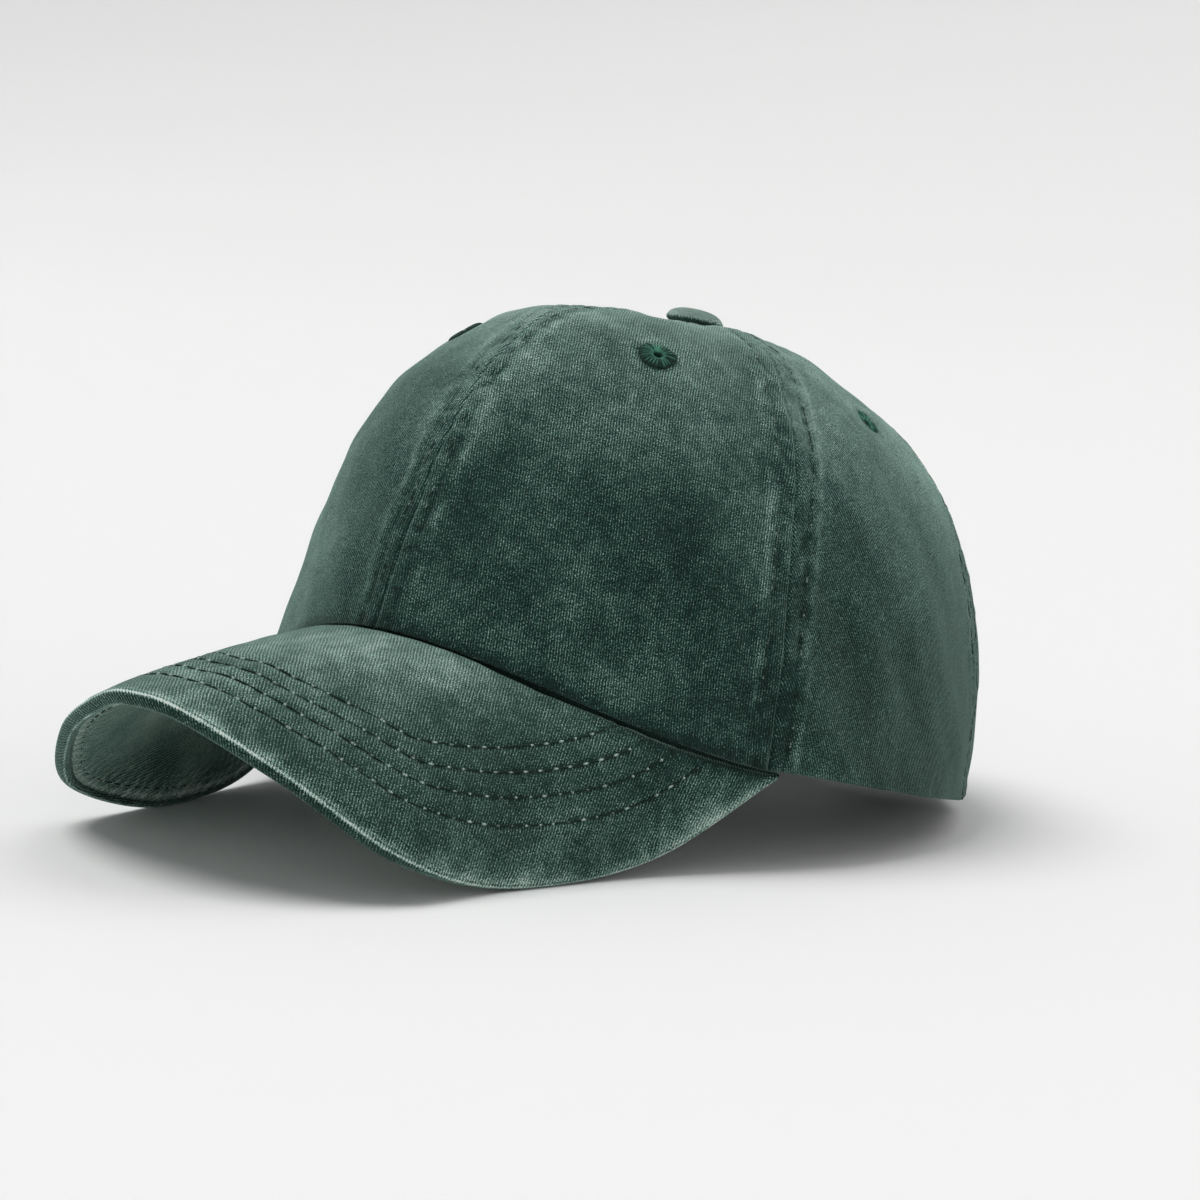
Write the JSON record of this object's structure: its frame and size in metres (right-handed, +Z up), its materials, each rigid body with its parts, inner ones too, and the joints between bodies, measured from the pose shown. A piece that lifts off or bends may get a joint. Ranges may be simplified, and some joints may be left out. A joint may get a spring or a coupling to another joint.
{
  "type": "ponytail baseball cap",
  "caption": "Washed dark green cotton twill baseball cap with a curved brim, stitched seams and eyelets, and a high back slit for a ponytail above a closure strap.",
  "frame": {"origin": "on the table under the middle of the cap's box, as the cap rests on its brim's wings and its back rim", "axes": "+Z up, -Y the way the brim points, +X the wearer's left"},
  "size_m": [0.16, 0.2756, 0.1194],
  "materials": {
    "twill": "washed matt",
    "under_twill": "washed matt",
    "thread": "soft sheen",
    "band": "washed matt"
  },
  "bodies": {
    "root": {"front_panel_left": "twill", "front_panel_right": "twill", "side_panel_left": "twill", "side_panel_right": "twill", "back_panel_left": "twill", "back_panel_right": "twill", "button": "twill", "front_eyelet_left": "thread", "front_eyelet_right": "thread", "side_eyelet_left": "thread", "side_eyelet_right": "thread", "brim_top": "twill", "brim_under": "under_twill", "sweatband": "band", "slit_binding": "band", "closure_strap": "twill"}
  },
  "joints": []
}
